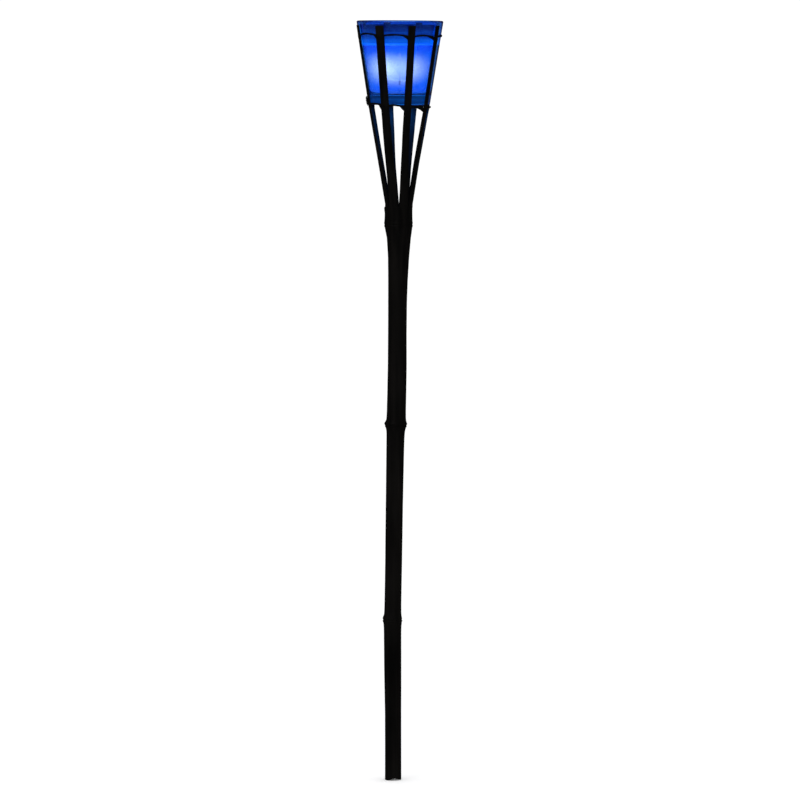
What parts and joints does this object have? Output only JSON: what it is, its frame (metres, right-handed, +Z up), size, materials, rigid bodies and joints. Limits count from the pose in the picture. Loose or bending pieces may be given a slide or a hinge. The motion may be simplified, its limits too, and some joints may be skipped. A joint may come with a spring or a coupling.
{
  "type": "garden torch",
  "caption": "Slim bamboo garden torch whose split top forms a conical basket for a candle in a tapered glass cup.",
  "frame": {"origin": "on the foot's axis, level with the foot's lowest point", "axes": "+Z up along the culm, away from the ground; -Y is the front that the picture shows; +X is to the right seen from the front"},
  "size_m": [0.1036, 0.1035, 0.9101],
  "materials": {
    "bamboo": "near-black stained and varnished bamboo, satin",
    "cane": "near-black stained split cane, satin",
    "blue_glass": "clear cobalt-blue pressed glass",
    "wax": "translucent white candle wax, lit from inside by the flame",
    "wick": "charred cotton wick",
    "tin": "thin tinned sheet"
  },
  "bodies": {
    "torch": {"culm": "bamboo", "stave_1": "bamboo", "stave_2": "bamboo", "stave_3": "bamboo", "stave_4": "bamboo", "stave_5": "bamboo", "stave_6": "bamboo", "stave_7": "bamboo", "stave_8": "bamboo", "lower_lashing": "cane", "upper_lashing": "cane"},
    "cup": {"glass_cup": "blue_glass", "wax": "wax", "wick": "wick", "wick_tab": "tin"}
  },
  "joints": [
    {"name": "glass_lift", "type": "slide", "parent": "torch", "child": "cup", "axis": [0.0058, 0, 1], "range_m": [0, 0.12]}
  ]
}
